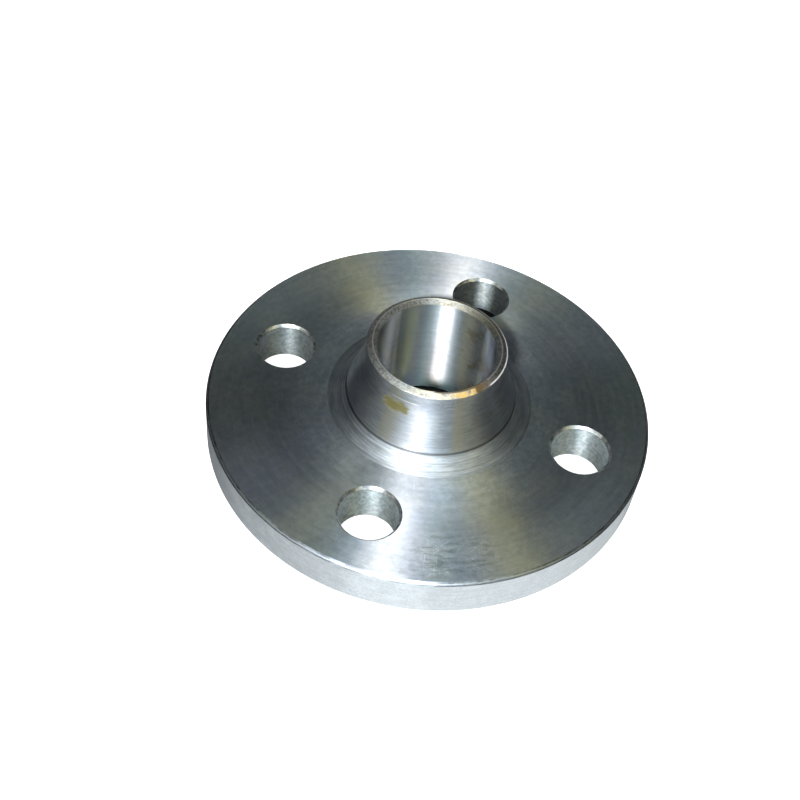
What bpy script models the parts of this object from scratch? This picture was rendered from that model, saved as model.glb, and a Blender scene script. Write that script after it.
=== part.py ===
# Weld-neck counter flange for a 42.4 mm steel pipe, turned and drilled from one forging.
# Metres, +Z up. The origin is the centre of the sealing face, which lies down, and the
# tapered hub and the pipe neck rise along +Z.

import math

import bmesh
import bpy

# Driving dimensions: disc
DISC_DIAMETER = 0.140
DISC_THICKNESS = 0.014
TOP_EDGE_CHAMFER = 0.0010
LOWER_EDGE_CHAMFER = 0.0004

# Driving dimensions: raised sealing face under the disc
RAISED_FACE_TO_HOLE_GAP = 0.002
RAISED_FACE_HEIGHT = 0.002
RAISED_FACE_CHAMFER = 0.0005

# Driving dimensions: hub and neck
OVERALL_HEIGHT = 0.040
HUB_ROOT_DIAMETER = 0.056
HUB_FILLET_RADIUS = 0.006
NECK_DIAMETER = 0.0430
NECK_WALL = 0.0032
NECK_STRAIGHT_LENGTH = 0.006
BORE_LOWER_CHAMFER = 0.0005

# Driving dimensions: weld preparation on the neck's end
WELD_ROOT_FACE = 0.0014
WELD_BEVEL_ANGLE = math.radians(30.0)

# Driving dimensions: bolt holes, which straddle the X and Y axes
BOLT_HOLE_COUNT = 4
BOLT_HOLE_DIAMETER = 0.018
BOLT_HOLE_CENTRE_TO_RIM = 0.020
BOLT_HOLE_TOP_CHAMFER = 0.0008
BOLT_HOLE_LOWER_CHAMFER = 0.0004

# Diameters that follow from the driving dimensions: 100, 78 and 36.6 mm
BOLT_CIRCLE_DIAMETER = DISC_DIAMETER - 2 * BOLT_HOLE_CENTRE_TO_RIM
RAISED_FACE_DIAMETER = BOLT_CIRCLE_DIAMETER - BOLT_HOLE_DIAMETER - 2 * RAISED_FACE_TO_HOLE_GAP
BORE_DIAMETER = NECK_DIAMETER - 2 * NECK_WALL

# Facets
TURNED_STEPS = 112
HOLE_STEPS = 40
FILLET_STEPS = 8

# Modelling allowances
MERGE_DISTANCE = 0.00001
CUTTER_OVERSHOOT = 0.001
SHARP_EDGE_ANGLE = math.radians(15.0)

# Material
STEEL_COLOUR = (0.47, 0.49, 0.50, 1.0)
STEEL_ROUGHNESS = 0.32
STEEL_METALLIC = 1.0

PART_NAME = "counter_flange"


def clear_scene():
    for old in list(bpy.data.objects):
        bpy.data.objects.remove(old, do_unlink=True)


def new_collection(name):
    collection = bpy.data.collections.new(name)
    bpy.context.scene.collection.children.link(collection)
    return collection


def turned_steel():
    material = bpy.data.materials.new("turned_steel")
    material.use_nodes = True
    shader = material.node_tree.nodes["Principled BSDF"]
    shader.inputs["Base Color"].default_value = STEEL_COLOUR
    shader.inputs["Roughness"].default_value = STEEL_ROUGHNESS
    shader.inputs["Metallic"].default_value = STEEL_METALLIC
    return material


def hub_fillet(hub_radius, disc_top, taper):
    """Points of the arc from the tapered hub, leaning in by taper, out to the disc's top face."""
    corner = math.pi / 2 - taper
    tangent_length = HUB_FILLET_RADIUS * math.tan(corner / 2)
    centre_x = hub_radius + tangent_length
    centre_z = disc_top + HUB_FILLET_RADIUS
    points = []
    for step in range(FILLET_STEPS + 1):
        angle = math.pi + taper + corner * step / FILLET_STEPS
        x = centre_x + HUB_FILLET_RADIUS * math.cos(angle)
        z = centre_z + HUB_FILLET_RADIUS * math.sin(angle)
        points.append((x, z))
    return points


def flange_profile():
    """Half section as a closed loop: down the outer side, in under the face, up the bore."""
    disc_radius = DISC_DIAMETER / 2
    face_radius = RAISED_FACE_DIAMETER / 2
    hub_radius = HUB_ROOT_DIAMETER / 2
    neck_radius = NECK_DIAMETER / 2
    bore_radius = BORE_DIAMETER / 2

    disc_bottom = RAISED_FACE_HEIGHT
    disc_top = disc_bottom + DISC_THICKNESS
    neck_bottom = OVERALL_HEIGHT - NECK_STRAIGHT_LENGTH
    root_radius = bore_radius + WELD_ROOT_FACE
    bevel_drop = (neck_radius - root_radius) * math.tan(WELD_BEVEL_ANGLE)
    taper = math.atan2(hub_radius - neck_radius, neck_bottom - disc_top)

    weld_end = [
        (bore_radius, OVERALL_HEIGHT),
        (root_radius, OVERALL_HEIGHT),
        (neck_radius, OVERALL_HEIGHT - bevel_drop),
        (neck_radius, neck_bottom),
    ]
    disc_edge = [
        (disc_radius - TOP_EDGE_CHAMFER, disc_top),
        (disc_radius, disc_top - TOP_EDGE_CHAMFER),
        (disc_radius, disc_bottom + LOWER_EDGE_CHAMFER),
        (disc_radius - LOWER_EDGE_CHAMFER, disc_bottom),
    ]
    sealing_face = [
        (face_radius, disc_bottom),
        (face_radius, RAISED_FACE_CHAMFER),
        (face_radius - RAISED_FACE_CHAMFER, 0.0),
        (bore_radius + BORE_LOWER_CHAMFER, 0.0),
        (bore_radius, BORE_LOWER_CHAMFER),
    ]
    return weld_end + hub_fillet(hub_radius, disc_top, taper) + disc_edge + sealing_face


def bolt_hole_profile():
    """Half section of one cutter: a drill with a countersink at each face of the disc."""
    hole_radius = BOLT_HOLE_DIAMETER / 2
    disc_bottom = RAISED_FACE_HEIGHT
    disc_top = disc_bottom + DISC_THICKNESS
    top_reach = BOLT_HOLE_TOP_CHAMFER + CUTTER_OVERSHOOT
    lower_reach = BOLT_HOLE_LOWER_CHAMFER + CUTTER_OVERSHOOT
    return [
        (0.0, disc_top + CUTTER_OVERSHOOT),
        (hole_radius + top_reach, disc_top + CUTTER_OVERSHOOT),
        (hole_radius, disc_top - BOLT_HOLE_TOP_CHAMFER),
        (hole_radius, disc_bottom + BOLT_HOLE_LOWER_CHAMFER),
        (hole_radius + lower_reach, disc_bottom - CUTTER_OVERSHOOT),
        (0.0, disc_bottom - CUTTER_OVERSHOOT),
    ]


def turned(name, profile, closed, steps, collection):
    """An object whose profile in the XZ plane is turned about its own Z axis."""
    mesh = bpy.data.meshes.new(name)
    outline = bmesh.new()
    verts = [outline.verts.new((x, 0.0, z)) for x, z in profile]
    for start, end in zip(verts, verts[1:]):
        outline.edges.new((start, end))
    if closed:
        outline.edges.new((verts[-1], verts[0]))
    outline.to_mesh(mesh)
    outline.free()

    piece = bpy.data.objects.new(name, mesh)
    collection.objects.link(piece)
    screw = piece.modifiers.new("Turn", "SCREW")
    screw.axis = "Z"
    screw.angle = 2 * math.pi
    screw.steps = steps
    screw.render_steps = steps
    screw.use_merge_vertices = True
    screw.merge_threshold = MERGE_DISTANCE
    return piece


def bolt_hole_cutters(collection):
    """One cutter at each place of the bolt circle, the first halfway between +X and +Y."""
    pitch = 2 * math.pi / BOLT_HOLE_COUNT
    for index in range(BOLT_HOLE_COUNT):
        angle = (index + 0.5) * pitch
        name = f"bolt_hole_cutter_{index + 1}"
        cutter = turned(name, bolt_hole_profile(), False, HOLE_STEPS, collection)
        cutter.location.x = BOLT_CIRCLE_DIAMETER / 2 * math.cos(angle)
        cutter.location.y = BOLT_CIRCLE_DIAMETER / 2 * math.sin(angle)
        cutter.hide_render = True
        cutter.display_type = "WIRE"


def drill(piece, cutters):
    holes = piece.modifiers.new("Bolt holes", "BOOLEAN")
    holes.operation = "DIFFERENCE"
    holes.solver = "EXACT"
    holes.operand_type = "COLLECTION"
    holes.collection = cutters


def shade_turned_edges(piece):
    """Keep the evaluated mesh, smooth on its turned faces and sharp along their edges."""
    evaluated = piece.evaluated_get(bpy.context.evaluated_depsgraph_get())
    mesh = bpy.data.meshes.new_from_object(evaluated)
    piece.modifiers.clear()
    piece.data = mesh
    mesh.shade_smooth()
    mesh.set_sharp_from_angle(angle=SHARP_EDGE_ANGLE)


def build():
    clear_scene()
    part_collection = new_collection(PART_NAME)
    cutter_collection = new_collection(PART_NAME + "_cutters")

    flange = turned(PART_NAME, flange_profile(), True, TURNED_STEPS, part_collection)
    bolt_hole_cutters(cutter_collection)
    drill(flange, cutter_collection)
    shade_turned_edges(flange)
    flange.data.materials.append(turned_steel())


build()
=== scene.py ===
# Looks of the turned steel counter flange: one finely modelled piece with a material for each
# machined surface, a pale floor, soft studio light and the photograph's camera.
# Lengths are in millimetres up to the meshes, which are in metres like the CAD frame.

import math

import bmesh
import bpy
from mathutils import Matrix, Vector, noise


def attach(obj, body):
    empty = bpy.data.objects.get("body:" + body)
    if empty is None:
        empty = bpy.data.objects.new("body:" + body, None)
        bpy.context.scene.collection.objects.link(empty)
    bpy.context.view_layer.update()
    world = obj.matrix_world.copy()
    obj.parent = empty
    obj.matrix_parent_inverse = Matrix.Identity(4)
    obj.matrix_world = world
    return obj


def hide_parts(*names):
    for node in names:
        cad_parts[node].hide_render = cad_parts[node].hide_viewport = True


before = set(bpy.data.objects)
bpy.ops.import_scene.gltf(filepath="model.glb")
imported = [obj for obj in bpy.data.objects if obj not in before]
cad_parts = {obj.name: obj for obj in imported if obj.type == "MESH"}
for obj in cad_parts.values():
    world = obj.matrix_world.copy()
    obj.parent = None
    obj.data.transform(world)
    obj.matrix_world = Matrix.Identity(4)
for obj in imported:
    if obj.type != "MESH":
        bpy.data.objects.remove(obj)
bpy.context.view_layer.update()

MM = 0.001

# The photograph's camera: its picture is 800 x 800 pixels, and AIM_PIXEL shows AIM_POINT
PICTURE_PIXELS = 800
SENSOR_WIDTH = 36.0
FOCAL_PIXELS = 1216.7
CAMERA_AZIMUTH = math.radians(-31.035)
CAMERA_ELEVATION = math.radians(49.381)
CAMERA_ROLL = math.radians(9.018)
CAMERA_DISTANCE = 395.29
AIM_POINT = (0.0, 0.0, 2.0)
AIM_PIXEL = (425.04, 424.66)

# Sizes of the flange, as in the CAD model
DISC_RADIUS = 70.0
DISC_BOTTOM = 2.0
DISC_TOP = 16.0
FACE_RADIUS = 39.0
NECK_RADIUS = 21.5
NECK_BOTTOM = 34.0
BORE_RADIUS = 18.3
HEIGHT = 40.0
HUB_RADIUS = 28.0
FILLET_RADIUS = 6.0
HOLE_RADIUS = 9.0
HOLE_CIRCLE_RADIUS = 50.0
HOLE_COUNT = 4
TOP_COUNTERSINK = 0.8
LOWER_COUNTERSINK = 0.4
LOWER_EDGE_CHAMFER = 0.4
SEALING_CHAMFER = 0.5

# Details that only the fine mesh has: heights and radii
FACE_LEVEL = 15.93
FACE_START = 33.4
SHOULDER_LEVEL = 15.96
SHOULDER_END = 33.2
FILLET_FOOT = 15.92
EDGE_START = 69.0
RIM_TOP = 14.95
NECK_EDGE = 38.85
BORE_TOP = 38.45
TOOL_GROOVE_WIDTH = 0.28
TOOL_GROOVE_DEPTH = 0.05
SEALING_GROOVES = 25
SEALING_GROOVE_DEPTH = 0.04
FILLET_RIPPLE = 0.03

# Facets of the fine mesh, and the longest step along its worn edges
TURN_STEPS = 480
HOLE_STEPS = 128
FILLET_STEPS = 16
WELD_SPACING = 0.22
EDGE_SPACING = 0.25
SHARP_EDGE_ANGLE = math.radians(17.0)

# Depth of the dents in the bands that wear, and their size
WEAR = {"weld": 0.07, "edge": 0.05}
WEAR_GRAIN = 0.9

# How far a hole's cutter stands out of the disc, and how near points become one
CUTTER_OVERSHOOT = 1.0
MERGE_DISTANCE = 0.003


def level_direction(side):
    """Unit vector in the floor's plane, degrees round the axis to the right of the camera."""
    azimuth = CAMERA_AZIMUTH + math.radians(side)
    return (math.sin(azimuth), -math.cos(azimuth), 0.0)


# Camera and floor


def photo_camera():
    back = Vector(level_direction(0.0)) * math.cos(CAMERA_ELEVATION)
    back.z = math.sin(CAMERA_ELEVATION)
    centre = PICTURE_PIXELS / 2
    sight_line = Vector((
        (AIM_PIXEL[0] - centre) / FOCAL_PIXELS,
        (centre - AIM_PIXEL[1]) / FOCAL_PIXELS,
        -1.0,
    ))
    level = back.to_track_quat("Z", "Y").to_matrix()
    roll = Matrix.Rotation(CAMERA_ROLL, 3, "Z")
    pan = Vector((0.0, 0.0, -1.0)).rotation_difference(sight_line).to_matrix()
    rotation = level @ roll @ pan.inverted()
    place = Vector(AIM_POINT) * MM + back * CAMERA_DISTANCE * MM

    data = bpy.data.cameras.new("photo_camera")
    data.sensor_width = SENSOR_WIDTH
    data.lens = FOCAL_PIXELS * SENSOR_WIDTH / PICTURE_PIXELS
    data.clip_start = 0.01
    data.clip_end = 50.0
    camera = bpy.data.objects.new("photo_camera", data)
    camera.matrix_world = Matrix.Translation(place) @ rotation.to_4x4()
    bpy.context.scene.collection.objects.link(camera)
    bpy.context.scene.camera = camera


# Floor, wall and black sheets. The stage's sizes and the floor's level are in metres.
STAGE_RADIUS = 6.0
STAGE_HEIGHT = 9.0
STAGE_GREY = (0.4, 0.4, 0.4, 1.0)
FLOOR_LEVEL = -0.0002
FLOOR_GLOW = 0.95
FLAG_BLACK = (0.01, 0.01, 0.01, 1.0)
MATT = 0.9
ROUND_SEGMENTS = 96


def pale_stage():
    """A pale floor with a round wall far behind it. The metal reflects the soft boxes and
    the world instead of them."""
    material = bpy.data.materials.new("stage_pale")
    material.use_nodes = True
    shader = material.node_tree.nodes["Principled BSDF"]
    shader.inputs["Base Color"].default_value = STAGE_GREY
    shader.inputs["Roughness"].default_value = MATT
    shader.inputs["Emission Color"].default_value = (1.0, 1.0, 1.0, 1.0)
    shader.inputs["Emission Strength"].default_value = FLOOR_GLOW
    shader.inputs["Specular IOR Level"].default_value = 0.1

    drum = bmesh.new()
    bmesh.ops.create_cone(
        drum, cap_ends=True, segments=ROUND_SEGMENTS,
        radius1=STAGE_RADIUS, radius2=STAGE_RADIUS, depth=STAGE_HEIGHT,
    )
    mesh = bpy.data.meshes.new("stage")
    drum.to_mesh(mesh)
    drum.free()
    mesh.materials.append(material)
    stage = bpy.data.objects.new("stage", mesh)
    stage.location.z = FLOOR_LEVEL + STAGE_HEIGHT / 2
    stage.visible_glossy = False
    bpy.context.scene.collection.objects.link(stage)


def dark_flag(name, radius, x, y, level):
    """A round black sheet of painted shade under the flange. Its radius and place are in
    millimetres, and its level is in metres, like the floor's."""
    sheet = bmesh.new()
    bmesh.ops.create_circle(sheet, cap_ends=True, segments=ROUND_SEGMENTS, radius=radius * MM)
    mesh = bpy.data.meshes.new(name)
    sheet.to_mesh(mesh)
    sheet.free()
    material = bpy.data.materials.new(name + "_black")
    material.use_nodes = True
    shader = material.node_tree.nodes["Principled BSDF"]
    shader.inputs["Base Color"].default_value = FLAG_BLACK
    shader.inputs["Roughness"].default_value = MATT
    mesh.materials.append(material)
    flag = bpy.data.objects.new(name, mesh)
    flag.location = (x * MM, y * MM, level)
    bpy.context.scene.collection.objects.link(flag)


def dark_flags():
    """Black sheets as painted shade below the flange. The wide sheet lies under the floor, where the
    bore and the bolt holes reflect it in place of the world. The small ones lie on the floor, and
    the camera sees them through the bore and the rear hole."""
    rear = HOLE_CIRCLE_RADIUS * math.sqrt(0.5)
    dark_flag("flag_below", DISC_RADIUS - 1.0, 0.0, 0.0, 2.0 * FLOOR_LEVEL)
    dark_flag("flag_bore", BORE_RADIUS + 4.0, 0.0, 0.0, 0.5 * FLOOR_LEVEL)
    dark_flag("flag_rear_hole", HOLE_RADIUS + 5.0, rear, rear, 0.5 * FLOOR_LEVEL)


# Node helpers


class Surface:
    """A steel surface's material: a short call for each node that the finishes below use.
    Places are in millimetres, and a side is degrees round the axis to the right of the camera."""

    def __init__(self, name):
        self.material = bpy.data.materials.new(name)
        self.material.use_nodes = True
        self.tree = self.material.node_tree
        self.inputs = self.tree.nodes["Principled BSDF"].inputs
        self.inputs["Metallic"].default_value = 1.0
        metres = self.node("ShaderNodeTexCoord").outputs["Object"]
        self.place = self.vector("DIVIDE", metres, (MM, MM, MM))
        self.x, self.y, self.z = self.split(self.place)
        self.flat = self.vector("MULTIPLY", self.place, (1.0, 1.0, 0.0))
        self.radius = self.vector("LENGTH", self.flat)
        self.outward = self.vector("NORMALIZE", self.flat)

    def node(self, kind, **settings):
        node = self.tree.nodes.new(kind)
        for key, value in settings.items():
            setattr(node, key, value)
        return node

    def put(self, socket, value):
        """Links an output to a socket, or sets a plain value on it."""
        if isinstance(value, bpy.types.NodeSocket):
            self.tree.links.new(value, socket)
        elif value is not None:
            socket.default_value = value

    def math(self, operation, a, b=None):
        node = self.node("ShaderNodeMath", operation=operation)
        self.put(node.inputs[0], a)
        self.put(node.inputs[1], b)
        return node.outputs[0]

    def vector(self, operation, a, b=None):
        node = self.node("ShaderNodeVectorMath", operation=operation)
        self.put(node.inputs[0], a)
        self.put(node.inputs[1], b)
        return node.outputs["Value" if operation in ("LENGTH", "DOT_PRODUCT") else "Vector"]

    def split(self, vector):
        node = self.node("ShaderNodeSeparateXYZ")
        self.put(node.inputs[0], vector)
        return node.outputs

    def join(self, x, y, z):
        node = self.node("ShaderNodeCombineXYZ")
        for socket, value in zip(node.inputs, (x, y, z)):
            self.put(socket, value)
        return node.outputs[0]

    def noise(self, vector, scale=1.0, detail=2.0, roughness=0.5):
        node = self.node("ShaderNodeTexNoise", noise_dimensions="3D")
        self.put(node.inputs["Vector"], vector)
        node.inputs["Scale"].default_value = scale
        node.inputs["Detail"].default_value = detail
        node.inputs["Roughness"].default_value = roughness
        return node.outputs["Fac"]

    def ramp(self, value, low, high, to_low=0.0, to_high=1.0):
        """Maps low..high smoothly to to_low..to_high and holds the ends beyond."""
        node = self.node("ShaderNodeMapRange", interpolation_type="SMOOTHSTEP")
        self.put(node.inputs["Value"], value)
        node.inputs["From Min"].default_value = low
        node.inputs["From Max"].default_value = high
        node.inputs["To Min"].default_value = to_low
        node.inputs["To Max"].default_value = to_high
        return node.outputs["Result"]

    def blend(self, share, first, second):
        node = self.node("ShaderNodeMix", data_type="RGBA")
        self.put(node.inputs["Factor"], share)
        self.put(node.inputs[6], first)
        self.put(node.inputs[7], second)
        return node.outputs[2]

    def times(self, *values):
        product = values[0]
        for value in values[1:]:
            product = self.math("MULTIPLY", product, value)
        return product

    def sum(self, *values):
        total = values[0]
        for value in values[1:]:
            total = self.math("ADD", total, value)
        return total

    def scale(self, colour, factor):
        """A colour times a number that varies over the surface."""
        node = self.node("ShaderNodeMix", data_type="RGBA", blend_type="MULTIPLY")
        node.inputs["Factor"].default_value = 1.0
        self.put(node.inputs[6], colour)
        self.put(node.inputs[7], self.join(factor, factor, factor))
        return node.outputs[2]

    def bump(self, height, depth, normal=None):
        """Relief of the given depth in millimetres."""
        node = self.node("ShaderNodeBump")
        self.put(node.inputs["Height"], height)
        node.inputs["Distance"].default_value = depth * MM
        self.put(node.inputs["Normal"], normal)
        return node.outputs["Normal"]

    def finish(self, colour, roughness, normal, metallic=None):
        self.put(self.inputs["Base Color"], colour)
        self.put(self.inputs["Roughness"], roughness)
        self.put(self.inputs["Normal"], normal)
        self.put(self.inputs["Metallic"], metallic)
        return self.material

    def brush(self, amount, outward=None):
        """Stretches reflections across the tool marks that run round the axis."""
        tool_path = self.vector("CROSS_PRODUCT", (0.0, 0.0, 1.0), outward or self.outward)
        self.inputs["Anisotropic"].default_value = amount
        self.inputs["Anisotropic Rotation"].default_value = 0.25
        self.put(self.inputs["Tangent"], tool_path)

    def turned(self, across, around):
        """Coordinates for marks that run round the axis: `across` for each millimetre over
        the profile, `around` for each radian along the turn. There is no seam."""
        reach = self.math("SUBTRACT", self.radius, self.z)
        cosine, sine, _ = self.split(self.outward)
        return self.join(
            self.times(reach, across), self.times(cosine, around), self.times(sine, around)
        )

    def sector(self, side, inner, outer):
        """1 within inner degrees of a side, falling to 0 at outer degrees."""
        along = self.vector("DOT_PRODUCT", self.outward, level_direction(side))
        return self.ramp(along, math.cos(math.radians(outer)), math.cos(math.radians(inner)))

    def band(self, value, centre, inner, outer):
        """1 within inner of the centre value, falling to 0 at outer."""
        distance = self.math("ABSOLUTE", self.math("SUBTRACT", value, centre))
        return self.ramp(distance, inner, outer, 1.0, 0.0)

    def scratches(self, turn, length, width, threshold):
        """Thin straight lines at an angle in the XY plane: 1 on a line, 0 between them."""
        cosine, sine = math.cos(turn), math.sin(turn)
        along = self.vector("DOT_PRODUCT", self.place, (cosine / length, sine / length, 0.3))
        across = self.vector("DOT_PRODUCT", self.place, (-sine / width, cosine / width, 0.3))
        lines = self.noise(self.join(along, across, turn), 1.0, 1.0)
        return self.ramp(lines, threshold, threshold + 0.06)


def grey(value, warm=0.0):
    """A steel grey, pulled towards yellow by warm, or towards blue where warm is negative."""
    return (value * (1.0 + warm), value * (1.0 + 0.35 * warm), value * (1.0 - warm), 1.0)


# Surfaces

COOL = -0.06
WARM = -0.02
RUST_DARK = (0.035, 0.018, 0.006, 1.0)
RUST_GOLD = (0.40, 0.25, 0.035, 1.0)
RUST_CREAM = (0.46, 0.41, 0.28, 1.0)
OLIVE = (0.20, 0.17, 0.018, 1.0)
OLD_OLIVE = (0.20, 0.18, 0.11, 1.0)
BROWN_STAIN = (0.40, 0.34, 0.26, 1.0)
# Blues of the bore's painted reflections
PALE_BLUE = (0.40, 0.45, 0.52, 1.0)
DEEP_BLUE = (0.40, 0.50, 0.76, 1.0)
DRILLED_DARK = (0.37, 0.41, 0.41, 1.0)
DRILLED_LIGHT = (0.60, 0.65, 0.66, 1.0)
SCRATCH_TURNS = (0.3, 1.1, 2.2)

# Painted shadow of the neck on the disc, behind it: its centre, and radii of its soft edge
SHADE_CENTRE = Vector(level_direction(172.0)) * 24.0
SHADE_INNER = 22.0
SHADE_OUTER = 25.0

# Side of a bolt hole's wall, seen from its axis, that the rear hole's painted shade leaves light as
# a streak
STREAK_DIRECTION = level_direction(171.0)


def tool_marks(s, across, chatter_around, groove_depth, chatter_depth):
    """Normal of a turned surface: fine grooves, and chatter that frays its highlights."""
    grooves = s.noise(s.turned(across, 2.0), detail=3.0, roughness=0.6)
    chatter = s.noise(s.turned(0.6 * across, chatter_around), detail=2.0)
    return s.bump(chatter, chatter_depth, s.bump(grooves, groove_depth))


def turned_tone(s, level, across, contrast):
    """Grey that varies in rings, in streaks along the turn and in soft clouds."""
    rings = s.noise(s.turned(0.6 * across, 0.8), detail=2.0)
    streaks = s.noise(s.turned(across, 7.0), detail=3.0, roughness=0.6)
    clouds = s.noise(s.place, 0.09, detail=4.0, roughness=0.6)
    tint = s.blend(s.ramp(clouds, 0.35, 0.65), grey(level, COOL), grey(level, WARM))
    mixed = s.sum(s.times(rings, 0.25), s.times(streaks, 0.4), s.times(clouds, 0.35))
    return s.scale(tint, s.ramp(mixed, 0.35, 0.65, 1.0 - contrast, 1.0 + contrast))


def disc_face():
    s = Surface("steel_disc_face")
    s.brush(0.95)
    tone = turned_tone(s, 0.60, 0.9, 0.10)
    # Lighter inner disc with a darker front in it: painted light and shade
    inner = s.ramp(s.radius, 36.0, 54.0, 1.0, 0.0)
    lit_inner_shaded_front = s.sum(0.42, s.times(s.sector(-11.0, 3.0, 25.0), -0.62))
    tone = s.scale(tone, s.sum(0.92, s.times(inner, lit_inner_shaded_front)))
    # Painted shadow of the neck, darkening the disc behind it
    from_centre = s.vector("LENGTH", s.vector("SUBTRACT", s.flat, SHADE_CENTRE))
    shaded = s.ramp(from_centre, SHADE_INNER, SHADE_OUTER, -0.48, 0.0)
    tone = s.scale(tone, s.sum(1.0, shaded))
    mottle = s.noise(s.place, 0.5, detail=4.0, roughness=0.6)
    worn = s.times(s.sector(14.0, 6.0, 15.0), s.band(s.radius, 61.0, 4.0, 10.0))
    scuffed = s.ramp(s.noise(s.place, 0.06, detail=2.0), 0.48, 0.62, 0.1, 0.6)
    scuffed = s.math("MAXIMUM", scuffed, worn)
    lines = s.sum(*[s.scratches(turn, 5.0, 0.3, 0.64) for turn in SCRATCH_TURNS])
    rubbed = s.ramp(s.noise(s.turned(0.9, 12.0), detail=2.0), 0.50, 0.62)
    shade = s.sum(s.ramp(mottle, 0.3, 0.7, 0.92, 1.08), s.times(lines, scuffed, 0.30))
    tone = s.scale(tone, s.math("SUBTRACT", shade, s.times(rubbed, worn, 0.25)))
    roughness = s.sum(s.ramp(s.radius, 34.0, 64.0, 0.66, 0.46), s.times(lines, scuffed, 0.08))
    roughness = s.sum(roughness, s.ramp(mottle, 0.3, 0.7, -0.015, 0.015))
    normal = tool_marks(s, 3.0, 26.0, 0.006, 0.016)
    normal = s.bump(s.times(lines, scuffed), -0.012, normal)
    return s.finish(tone, roughness, normal)


def hub_face():
    s = Surface("steel_hub")
    s.brush(0.78)
    tone = turned_tone(s, 0.60, 1.6, 0.20)
    # Lighter front and a lighter strip at the left of the hub: painted light
    lit_front = s.times(s.sector(-4.0, 28.0, 60.0), 0.28)
    lit_left = s.times(s.sector(-98.0, 8.0, 24.0), 0.5)
    # Darker line at the tool groove: painted shade in the crease
    groove_shade = s.times(s.band(s.z, 20.1, 0.1, 0.35), -0.35)
    tone = s.scale(tone, s.sum(0.72, lit_front, lit_left, groove_shade))
    # Two warm lines on the hub: painted reflections of warm lamps
    warm = s.math("MAXIMUM", s.sector(24.0, 2.0, 6.0), s.sector(-27.0, 3.0, 8.0))
    tone = s.blend(s.times(warm, 0.5), tone, grey(0.56, 0.16))
    ragged = s.noise(s.turned(1.1, 9.0), detail=4.0, roughness=0.7)
    stain = s.times(s.sector(-26.0, 4.0, 17.0), s.band(s.z, 32.0, 0.4, 3.0))
    stain = s.ramp(s.sum(stain, s.times(ragged, 1.6)), 1.15, 1.65)
    specks = s.ramp(s.noise(s.turned(1.8, 16.0), detail=3.0, roughness=0.7), 0.5, 0.6)
    specked = s.times(specks, s.sector(17.0, 4.0, 18.0), s.band(s.z, 36.2, 0.8, 2.8))
    tone = s.blend(s.times(specked, 0.5), tone, grey(0.26, -0.12))
    tone = s.blend(s.times(stain, 0.85), tone, OLIVE)
    worn_line = s.times(s.band(s.z, 34.9, 0.1, 0.4), s.sector(-20.0, 8.0, 16.0))
    tone = s.blend(s.times(worn_line, s.ramp(ragged, 0.35, 0.5)), tone, grey(0.95))
    metallic = s.ramp(stain, 0.0, 1.0, 1.0, 0.8)
    roughness = s.ramp(s.noise(s.turned(2.0, 4.0)), 0.3, 0.7, 0.47, 0.52)
    return s.finish(tone, roughness, tool_marks(s, 4.0, 14.0, 0.010, 0.022), metallic)


def fillet_face():
    s = Surface("steel_hub_fillet")
    s.brush(0.75)
    tone = turned_tone(s, 0.56, 1.8, 0.24)
    rings = s.ramp(s.noise(s.turned(1.6, 0.3), detail=1.0), 0.4, 0.6, 0.88, 1.08)
    # Lighter front of the fillet: painted light
    lit_front = s.sum(0.76, s.times(s.sector(4.0, 28.0, 64.0), 0.50))
    # Darker ring at the tool groove: painted shade in the crease
    groove_shade = s.times(s.band(s.radius, 26.6, 0.12, 0.32), -0.7)
    tone = s.scale(tone, s.times(rings, lit_front, s.sum(1.0, groove_shade)))
    roughness = s.ramp(s.noise(s.turned(2.0, 3.0)), 0.3, 0.7, 0.62, 0.66)
    return s.finish(tone, roughness, tool_marks(s, 3.0, 12.0, 0.010, 0.020))


def bore_face():
    s = Surface("steel_bore")
    s.brush(0.985)
    tone = s.blend(0.5, turned_tone(s, 0.60, 1.4, 0.22), grey(0.60, 0.05))
    stain = s.ramp(s.noise(s.place, 0.12, detail=4.0, roughness=0.7), 0.5, 0.62)
    tone = s.blend(s.times(stain, s.sector(125.0, 30.0, 60.0), 0.7), tone, BROWN_STAIN)
    # Pale and deep blue strips at the left of the bore: painted reflections
    tone = s.blend(s.times(s.sector(-145.0, 12.0, 40.0), 0.35), tone, PALE_BLUE)
    tone = s.blend(s.times(s.sector(-147.5, 5.0, 11.0), 0.6), tone, DEEP_BLUE)
    # Lighter far side and two light lines, darker near sides: painted highlights and painted shade
    far_side = s.times(s.sector(168.0, 14.0, 60.0), 0.12)
    near_left = s.times(s.sector(-80.0, 20.0, 45.0), -0.55)
    near_right = s.times(s.sector(100.0, 14.0, 36.0), -0.40)
    left_line = s.times(s.sector(-134.0, 1.0, 3.0), 0.45)
    right_line = s.times(s.sector(126.0, 2.0, 5.0), 0.25)
    tone = s.scale(tone, s.sum(1.08, far_side, near_left, near_right, left_line, right_line))
    roughness = s.ramp(s.noise(s.turned(3.0, 3.0)), 0.3, 0.7, 0.46, 0.54)
    return s.finish(tone, roughness, tool_marks(s, 3.5, 12.0, 0.010, 0.028))


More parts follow.
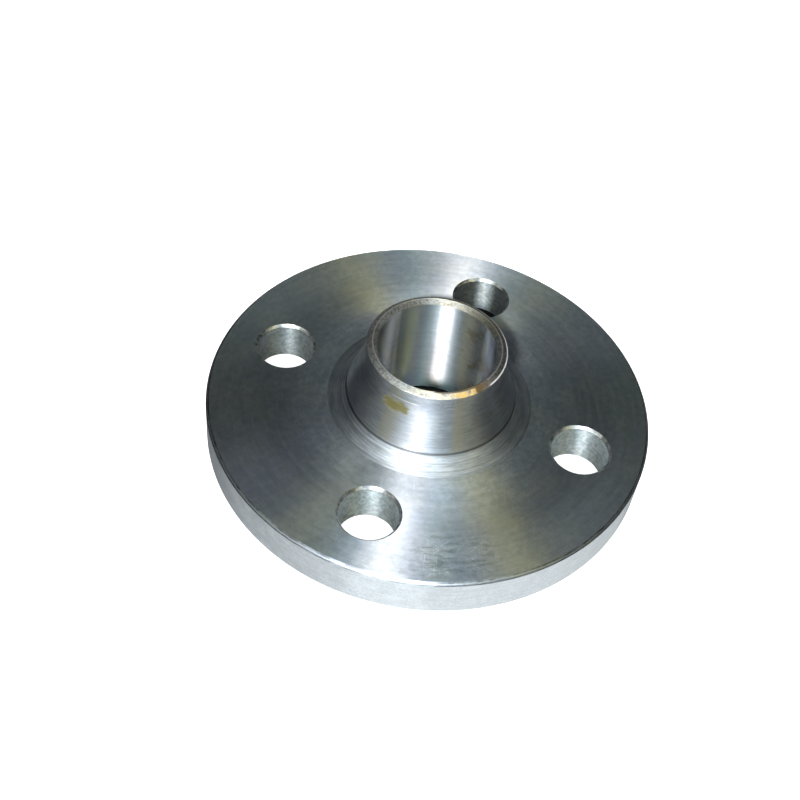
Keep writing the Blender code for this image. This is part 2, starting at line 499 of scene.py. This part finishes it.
def rim_face():
    s = Surface("steel_rim")
    s.brush(0.2)
    specks = s.noise(s.place, 1.3, detail=3.0, roughness=0.6)
    patches = s.noise(s.place, 0.22, detail=3.0, roughness=0.6)
    streaks = s.noise(s.turned(1.2, 9.0), detail=3.0, roughness=0.6)
    mixed = s.sum(s.times(specks, 0.35), s.times(patches, 0.35), s.times(streaks, 0.3))
    tone = s.blend(s.ramp(mixed, 0.38, 0.62), grey(0.64, -0.02), grey(0.78, -0.02))
    # Darker left, a lighter strip at the front and darker ends: painted shade and a painted
    # highlight
    tone = s.blend(s.times(s.sector(-55.0, 15.0, 45.0), 0.6), tone, s.scale(tone, 0.86))
    tone = s.scale(tone, s.sum(1.0, s.times(s.sector(-3.0, 3.0, 12.0), 0.14)))
    shaded_ends = s.math("MAXIMUM", s.sector(-80.0, 8.0, 40.0), s.sector(84.0, 10.0, 22.0))
    tone = s.blend(s.times(shaded_ends, 0.8), tone, grey(0.40, -0.02))
    nicks = s.ramp(s.noise(s.place, 0.9, detail=1.0), 0.70, 0.76)
    tone = s.blend(s.times(nicks, 0.6), tone, grey(0.6))
    normal = s.bump(nicks, -0.03, s.bump(specks, 0.02))
    return s.finish(tone, s.ramp(patches, 0.35, 0.65, 0.58, 0.66), normal)


def edge_chamfer():
    s = Surface("steel_edge_chamfer")
    s.brush(0.3)
    grains = s.noise(s.place, 1.4, detail=3.0, roughness=0.6)
    waves = s.noise(s.place, 0.16, detail=3.0, roughness=0.6)
    # Lighter band round the middle of the chamfer over darker sides: painted reflection and shade
    place = s.sum(s.radius, s.times(waves, 0.7), s.times(grains, 0.3))
    light = s.band(place, 70.03, 0.05, 0.22)
    dark = s.blend(s.ramp(waves, 0.4, 0.6), grey(0.20, COOL), grey(0.36, COOL))
    tone = s.blend(light, dark, grey(0.58, COOL))
    # Painted glint on the front edge, ragged by the grain
    front_glint = s.ramp(s.sum(s.sector(2.0, 4.0, 9.0), s.times(grains, 0.8)), 0.9, 1.2)
    tone = s.blend(s.times(front_glint, light), tone, grey(0.9))
    return s.finish(tone, 0.46, s.bump(grains, 0.03))


def weld_end():
    s = Surface("steel_weld_end")
    pits = s.noise(s.place, 1.3, detail=4.0, roughness=0.7)
    grain = s.noise(s.place, 4.0, detail=2.0)
    patches = s.noise(s.place, 0.7, detail=4.0, roughness=0.7)
    tone = s.blend(s.ramp(pits, 0.36, 0.60), grey(0.18, 0.05), grey(0.46, 0.02))
    # Lighter front, darker back and sides: painted light and shade
    front = s.sector(-8.0, 20.0, 75.0)
    back = s.sector(176.0, 25.0, 70.0)
    right = s.sector(95.0, 20.0, 50.0)
    left = s.sector(-75.0, 15.0, 40.0)
    sides = s.sum(s.times(right, -0.45), s.times(left, -0.30))
    tone = s.scale(tone, s.sum(0.85, s.times(front, 0.30), s.times(back, -0.25), sides))
    # A lighter line along the crest, and a painted highlight on the outer edge at the far right
    crest = s.ramp(s.sum(s.band(s.radius, 19.7, 0.1, 0.4), s.times(patches, 0.9)), 1.05, 1.35)
    outer_edge = s.times(s.band(s.radius, 21.3, 0.08, 0.28), s.sector(135.0, 80.0, 105.0))
    light_line = s.math("MAXIMUM", s.times(crest, 0.5), s.times(outer_edge, 0.7))
    tone = s.blend(light_line, tone, grey(0.60, 0.02))
    inner_edge = s.band(s.radius, 19.6, 0.2, 0.6)
    cream = s.ramp(s.sum(s.sector(8.0, 8.0, 46.0), s.times(patches, 2.0)), 1.7, 2.2)
    gold = s.ramp(s.sum(s.sector(33.0, 4.0, 26.0), s.times(patches, 2.4)), 1.95, 2.3)
    olive = s.ramp(s.sum(s.sector(150.0, 20.0, 60.0), s.times(patches, 1.8)), 1.4, 2.1)
    brown_side = s.times(s.sector(28.0, 16.0, 32.0), s.sum(0.25, s.times(inner_edge, 0.6)))
    brown = s.sum(brown_side, s.times(s.sector(47.0, 4.0, 10.0), 0.5), s.times(pits, 0.9))
    brown = s.ramp(brown, 0.85, 1.05)
    tone = s.blend(s.times(olive, 0.6), tone, OLD_OLIVE)
    tone = s.blend(s.times(cream, 0.85), tone, RUST_CREAM)
    tone = s.blend(s.times(gold, 0.9), tone, RUST_GOLD)
    tone = s.blend(s.times(brown, 0.9), tone, RUST_DARK)
    rust = s.math("MAXIMUM", s.math("MAXIMUM", cream, gold), brown)
    dulled = s.math("MAXIMUM", rust, s.times(outer_edge, 0.6))
    metallic = s.ramp(dulled, 0.0, 1.0, 0.9, 0.15)
    normal = s.bump(grain, 0.03, s.bump(pits, 0.10))
    return s.finish(tone, s.ramp(pits, 0.35, 0.65, 0.5, 0.36), normal, metallic)


def hole_offset(s):
    """Direction from the axis of the nearest bolt hole."""
    reach = HOLE_CIRCLE_RADIUS * math.sqrt(0.5)
    x = s.math("SUBTRACT", s.x, s.times(s.math("SIGN", s.x), reach))
    y = s.math("SUBTRACT", s.y, s.times(s.math("SIGN", s.y), reach))
    return s.vector("NORMALIZE", s.join(x, y, 0.0))


def hole_wall():
    s = Surface("steel_hole_wall")
    offset = hole_offset(s)
    s.brush(0.86, offset)
    cosine, sine, _ = s.split(offset)
    drilled = s.join(s.times(s.z, 0.8), s.times(cosine, 3.5), s.times(sine, 3.5))
    rings = s.noise(drilled, detail=2.0, roughness=0.5)
    mottle = s.noise(s.place, 0.9, detail=4.0, roughness=0.6)
    mixed = s.sum(s.times(rings, 0.3), s.times(mottle, 0.7))
    tone = s.blend(s.ramp(mixed, 0.37, 0.63), DRILLED_DARK, DRILLED_LIGHT)
    off_streak = s.ramp(s.vector("DOT_PRODUCT", offset, STREAK_DIRECTION), 0.90, 0.995, 1.0, 0.0)
    # Darker rear and left holes: painted shade, kept off a painted light streak in the rear hole
    shaded_rear = s.times(s.sector(166.0, 12.0, 22.0), -0.65, off_streak)
    shaded_left = s.times(s.sector(-104.0, 12.0, 22.0), -0.35)
    shade_line = s.times(s.band(s.z, 15.1, 0.1, 0.4), -0.3)
    tone = s.scale(tone, s.sum(1.0, shaded_rear, shaded_left, shade_line))
    return s.finish(tone, 0.57, s.bump(mottle, 0.02, s.bump(rings, 0.008)), 0.87)


def hole_chamfer():
    s = Surface("steel_hole_chamfer")
    s.brush(0.3, hole_offset(s))
    grains = s.noise(s.place, 0.4, detail=3.0, roughness=0.6)
    tone = s.blend(s.ramp(grains, 0.38, 0.60), grey(0.26), grey(0.62))
    return s.finish(tone, 0.45, s.bump(grains, 0.02))


def underside():
    s = Surface("steel_underside")
    s.brush(0.9)
    tone = turned_tone(s, 0.52, 1.0, 0.14)
    return s.finish(tone, 0.42, tool_marks(s, 3.0, 14.0, 0.012, 0.02))


def sealing_face():
    s = Surface("steel_sealing_face")
    s.brush(0.88)
    tone = turned_tone(s, 0.62, 1.2, 0.08)
    return s.finish(tone, 0.34, tool_marks(s, 5.0, 14.0, 0.004, 0.008))


SURFACES = {
    "disc": disc_face, "hub": hub_face, "fillet": fillet_face, "bore": bore_face,
    "rim": rim_face, "edge": edge_chamfer, "weld": weld_end, "wall": hole_wall,
    "countersink": hole_chamfer, "under": underside, "seal": sealing_face,
}


# Fine mesh: each band of the half section has a surface and points (radius, height)

# The weld end, from the bore over its rounded crest to the neck
WELD_END = (
    (BORE_RADIUS, BORE_TOP), (BORE_RADIUS + 0.1, BORE_TOP + 0.12), (19.45, HEIGHT - 0.14),
    (19.6, HEIGHT), (19.75, HEIGHT), (19.95, HEIGHT - 0.12), (21.35, 39.03),
    (NECK_RADIUS, NECK_EDGE),
)

# The disc's upper edge, worn round, from the face to the rim
UPPER_EDGE = ((EDGE_START, FACE_LEVEL), (69.12, 15.84), (69.8, 15.2), (DISC_RADIUS, RIM_TOP))


def hub_fillet():
    """The arc from the cone, where a shallow tool mark parts them, out to the disc's face.
    The tool has left slight rings on it."""
    taper = math.atan2(HUB_RADIUS - NECK_RADIUS, NECK_BOTTOM - DISC_TOP)
    corner = math.pi / 2 - taper
    centre_radius = HUB_RADIUS + FILLET_RADIUS * math.tan(corner / 2)
    centre_height = DISC_TOP + FILLET_RADIUS
    points = []
    for step in range(FILLET_STEPS + 1):
        angle = math.pi + taper + corner * step / FILLET_STEPS
        arc = FILLET_RADIUS + FILLET_RIPPLE * noise.noise(Vector((0.83 * step, 0.5, 0.5)))
        points.append((centre_radius + arc * math.cos(angle), centre_height + arc * math.sin(angle)))
    return points


def finely(points, spacing):
    """The same line with points no further apart than the spacing."""
    dense = [points[0]]
    for (r0, z0), (r1, z1) in zip(points, points[1:]):
        count = max(1, math.ceil(math.hypot(r1 - r0, z1 - z0) / spacing))
        for k in range(1, count + 1):
            dense.append((r0 + (r1 - r0) * k / count, z0 + (z1 - z0) * k / count))
    return dense


def sealing_grooves(inner, outer):
    pitch = (outer - inner) / SEALING_GROOVES
    points = []
    for index in range(SEALING_GROOVES):
        crest = outer - index * pitch
        points += [(crest, 0.0), (crest - 0.5 * pitch, SEALING_GROOVE_DEPTH)]
    return points + [(inner, 0.0)]


def half_section():
    fillet = hub_fillet()
    cone_r, cone_z = fillet[0]
    groove = (cone_r - TOOL_GROOVE_WIDTH, cone_z - TOOL_GROOVE_DEPTH)
    run_out = fillet[-1][0]
    fillet_foot = (run_out + 0.15, FILLET_FOOT)
    face_edge = (EDGE_START, FACE_LEVEL)
    rim_top = (DISC_RADIUS, RIM_TOP)
    rim_foot = (DISC_RADIUS, DISC_BOTTOM + LOWER_EDGE_CHAMFER)
    underside_edge = (DISC_RADIUS - LOWER_EDGE_CHAMFER, DISC_BOTTOM)
    sealing_outer = FACE_RADIUS - SEALING_CHAMFER
    sealing_inner = BORE_RADIUS + SEALING_CHAMFER
    return [
        ("weld", finely(WELD_END, WELD_SPACING)),
        ("hub", [
            (NECK_RADIUS, NECK_EDGE), (NECK_RADIUS, NECK_BOTTOM + 0.25),
            (NECK_RADIUS + 0.06, NECK_BOTTOM), (NECK_RADIUS + 0.10, NECK_BOTTOM - 0.3),
            (cone_r - 0.06, cone_z + 0.25), groove,
        ]),
        ("fillet", [groove] + fillet[1:] + [fillet_foot]),
        ("disc", [
            fillet_foot, (run_out + 0.35, SHOULDER_LEVEL), (SHOULDER_END, SHOULDER_LEVEL),
            (FACE_START, FACE_LEVEL), face_edge,
        ]),
        ("edge", finely(UPPER_EDGE, EDGE_SPACING)),
        ("rim", [rim_top, rim_foot]),
        ("edge", [rim_foot, underside_edge]),
        ("under", [
            underside_edge, (FACE_RADIUS, DISC_BOTTOM), (FACE_RADIUS, SEALING_CHAMFER),
            (sealing_outer, 0.0),
        ]),
        ("seal", sealing_grooves(sealing_inner, sealing_outer)),
        ("bore", [(sealing_inner, 0.0), (BORE_RADIUS, SEALING_CHAMFER), (BORE_RADIUS, BORE_TOP)]),
    ]


def lathe(name, sections, steps):
    """Turns bands about Z into one closed mesh. Bands that wear get shallow dents, and points
    that meet on the axis become one."""
    order = list(SURFACES)
    points = []
    for label, line in sections:
        points += [(label, radius, height) for radius, height in line[:-1]]
    shape = bmesh.new()
    rings = []
    for step in range(steps):
        angle = 2 * math.pi * step / steps
        direction = Vector((math.cos(angle), math.sin(angle), 0.0))
        ring = []
        for label, radius, height in points:
            place = direction * radius + Vector((0.0, 0.0, height))
            depth = WEAR.get(label, 0.0)
            if depth:
                dent = depth * noise.fractal(place / WEAR_GRAIN, 1.0, 2.0, 2)
                place -= (direction * 0.5 + Vector((0.0, 0.0, 0.5))) * abs(dent)
            ring.append(shape.verts.new(place * MM))
        rings.append(ring)
    for here, beyond in zip(rings, rings[1:] + rings[:1]):
        for index, (label, _, _) in enumerate(points):
            following = (index + 1) % len(points)
            face = shape.faces.new((here[index], here[following], beyond[following], beyond[index]))
            face.material_index = order.index(label)
    bmesh.ops.remove_doubles(shape, verts=shape.verts, dist=MERGE_DISTANCE * MM)
    mesh = bpy.data.meshes.new(name)
    shape.to_mesh(mesh)
    shape.free()
    return mesh


def hole_cutter(index, materials):
    """A drill with a countersink at each end. Each has the material it leaves on the disc."""
    top = FACE_LEVEL + CUTTER_OVERSHOOT
    bottom = DISC_BOTTOM - CUTTER_OVERSHOOT
    wide = HOLE_RADIUS + TOP_COUNTERSINK + CUTTER_OVERSHOOT
    low_wide = HOLE_RADIUS + LOWER_COUNTERSINK + CUTTER_OVERSHOOT
    wall_top = (HOLE_RADIUS, FACE_LEVEL - TOP_COUNTERSINK)
    wall_foot = (HOLE_RADIUS, DISC_BOTTOM + LOWER_COUNTERSINK)
    sections = [
        ("countersink", [(0.0, top), (wide, top), wall_top]),
        ("wall", [wall_top, wall_foot]),
        ("countersink", [wall_foot, (low_wide, bottom), (0.0, bottom), (0.0, top)]),
    ]
    mesh = lathe(f"hole_cutter_{index}", sections, HOLE_STEPS)
    for material in materials:
        mesh.materials.append(material)
    cutter = bpy.data.objects.new(mesh.name, mesh)
    angle = (index + 0.5) * 2 * math.pi / HOLE_COUNT
    cutter.location.x = HOLE_CIRCLE_RADIUS * math.cos(angle) * MM
    cutter.location.y = HOLE_CIRCLE_RADIUS * math.sin(angle) * MM
    bpy.context.scene.collection.objects.link(cutter)
    return cutter


def flange():
    materials = [make() for make in SURFACES.values()]
    mesh = lathe("counter_flange_finish", half_section(), TURN_STEPS)
    for material in materials:
        mesh.materials.append(material)
    piece = bpy.data.objects.new(mesh.name, mesh)
    bpy.context.scene.collection.objects.link(piece)

    cutters = [hole_cutter(index, materials) for index in range(HOLE_COUNT)]
    for cutter in cutters:
        cut = piece.modifiers.new(cutter.name, "BOOLEAN")
        cut.operation = "DIFFERENCE"
        cut.solver = "EXACT"
        cut.object = cutter
        cut.material_mode = "INDEX"
    evaluated = piece.evaluated_get(bpy.context.evaluated_depsgraph_get())
    finished = bpy.data.meshes.new_from_object(evaluated)
    piece.modifiers.clear()
    piece.data = finished
    for cutter in cutters:
        bpy.data.objects.remove(cutter)
    finished.shade_smooth()
    finished.set_sharp_from_angle(angle=SHARP_EDGE_ANGLE)

    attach(piece, "root")
    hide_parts("counter_flange")


# Light


def soft_box(name, side, elevation, half_angle, radiance, distance=2.5):
    """A round soft box that faces the flange, its distance in metres. side is its azimuth in
    degrees to the right of the camera's, and half_angle is how large it looks from the flange."""
    height = math.radians(elevation)
    towards = Vector(level_direction(side)) * math.cos(height)
    towards.z = math.sin(height)
    radius = distance * math.tan(math.radians(half_angle))
    strongest = max(radiance)
    data = bpy.data.lights.new(name, "AREA")
    data.shape = "DISK"
    data.size = 2 * radius
    data.color = [part / strongest for part in radiance]
    data.energy = strongest * math.pi * math.pi * radius ** 2
    lamp = bpy.data.objects.new(name, data)
    turn = towards.to_track_quat("Z", "Y").to_matrix().to_4x4()
    lamp.matrix_world = Matrix.Translation(towards * distance) @ turn
    bpy.context.scene.collection.objects.link(lamp)


# Name, side, elevation, half angle and radiance of each soft box
SOFT_BOXES = (
    ("key", -8.0, 43.6, 2.5, (410.0, 385.0, 245.0)),
    ("key_left", -14.0, 43.6, 2.5, (100.0, 125.0, 205.0)),
    ("key_right", -2.0, 43.6, 2.5, (0.0, 0.0, 70.0)),
    ("front", 0.0, 26.0, 8.0, (6.2, 8.8, 11.0)),
    ("front_right", 20.0, 50.0, 2.5, (33.0, 50.0, 37.0)),
    ("front_left", -30.0, 50.0, 2.5, (14.3, 30.4, 34.5)),
    ("warm_right", 57.0, 45.0, 2.5, (31.0, 27.5, 4.0)),
    ("warm_right_high", 58.0, 58.0, 2.5, (8.3, 7.5, 4.4)),
    ("right_high", 40.0, 58.0, 8.0, (0.85, 1.55, 3.7)),
    ("right", 60.0, 58.0, 8.0, (2.4, 2.15, 1.2)),
    ("right_low", 70.0, 25.0, 10.0, (0.3, 0.35, 0.45)),
    ("warm_left", -54.0, 45.0, 2.5, (18.0, 16.0, 5.0)),
    ("left_high", -60.0, 58.0, 2.5, (8.4, 10.8, 11.2)),
    ("left", -60.0, 42.0, 8.0, (1.3, 1.45, 1.5)),
    ("back_left", -120.0, 58.0, 8.0, (0.75, 0.83, 1.1)),
    ("back_right", 160.0, 58.0, 8.0, (1.0, 1.17, 1.26)),
    ("back", 180.0, 42.0, 8.0, (0.51, 0.56, 0.55)),
    ("back_high", 180.0, 58.0, 8.0, (0.27, 0.38, 0.23)),
)

# Glow that the metal reflects from below, by the sine of its elevation. It comes most from
# the right and the front.
WORLD_STRENGTH = 2.5
WORLD_GLOWS = ((-1.0, 1.0), (-0.6, 0.7), (-0.35, 0.23), (-0.12, 0.0))
WORLD_TINT = (0.91, 0.98, 1.0)
WORLD_SIDE = 40.0


def studio():
    for box in SOFT_BOXES:
        soft_box(*box)

    world = bpy.data.worlds.new("studio")
    world.use_nodes = True
    tree = world.node_tree
    background = tree.nodes["Background"]
    direction = tree.nodes.new("ShaderNodeTexCoord").outputs["Generated"]
    parts = tree.nodes.new("ShaderNodeSeparateXYZ")
    height = tree.nodes.new("ShaderNodeMapRange")
    height.inputs["From Min"].default_value = -1.0
    glow = tree.nodes.new("ShaderNodeValToRGB")
    stops = glow.color_ramp.elements
    stops.remove(stops[1])
    for sine, level in WORLD_GLOWS[1:]:
        stops.new((sine + 1.0) / 2.0).color = (level, level, level, 1.0)
    stops[0].color = (1.0, 1.0, 1.0, 1.0)
    towards = tree.nodes.new("ShaderNodeVectorMath")
    towards.operation = "DOT_PRODUCT"
    towards.inputs[1].default_value = level_direction(WORLD_SIDE)
    lean = tree.nodes.new("ShaderNodeMath")
    lean.operation = "MULTIPLY_ADD"
    lean.inputs[1].default_value = 0.5 * WORLD_STRENGTH
    lean.inputs[2].default_value = 0.5 * WORLD_STRENGTH
    strength = tree.nodes.new("ShaderNodeMath")
    strength.operation = "MULTIPLY"
    tree.links.new(direction, parts.inputs[0])
    tree.links.new(parts.outputs["Z"], height.inputs["Value"])
    tree.links.new(height.outputs["Result"], glow.inputs["Fac"])
    tree.links.new(direction, towards.inputs[0])
    tree.links.new(towards.outputs["Value"], lean.inputs[0])
    tree.links.new(lean.outputs[0], strength.inputs[0])
    tree.links.new(glow.outputs["Color"], strength.inputs[1])
    tree.links.new(strength.outputs[0], background.inputs["Strength"])
    background.inputs["Color"].default_value = (*WORLD_TINT, 1.0)
    bpy.context.scene.world = world
    bpy.context.scene.view_settings.view_transform = "Standard"


photo_camera()
pale_stage()
dark_flags()
flange()
studio()
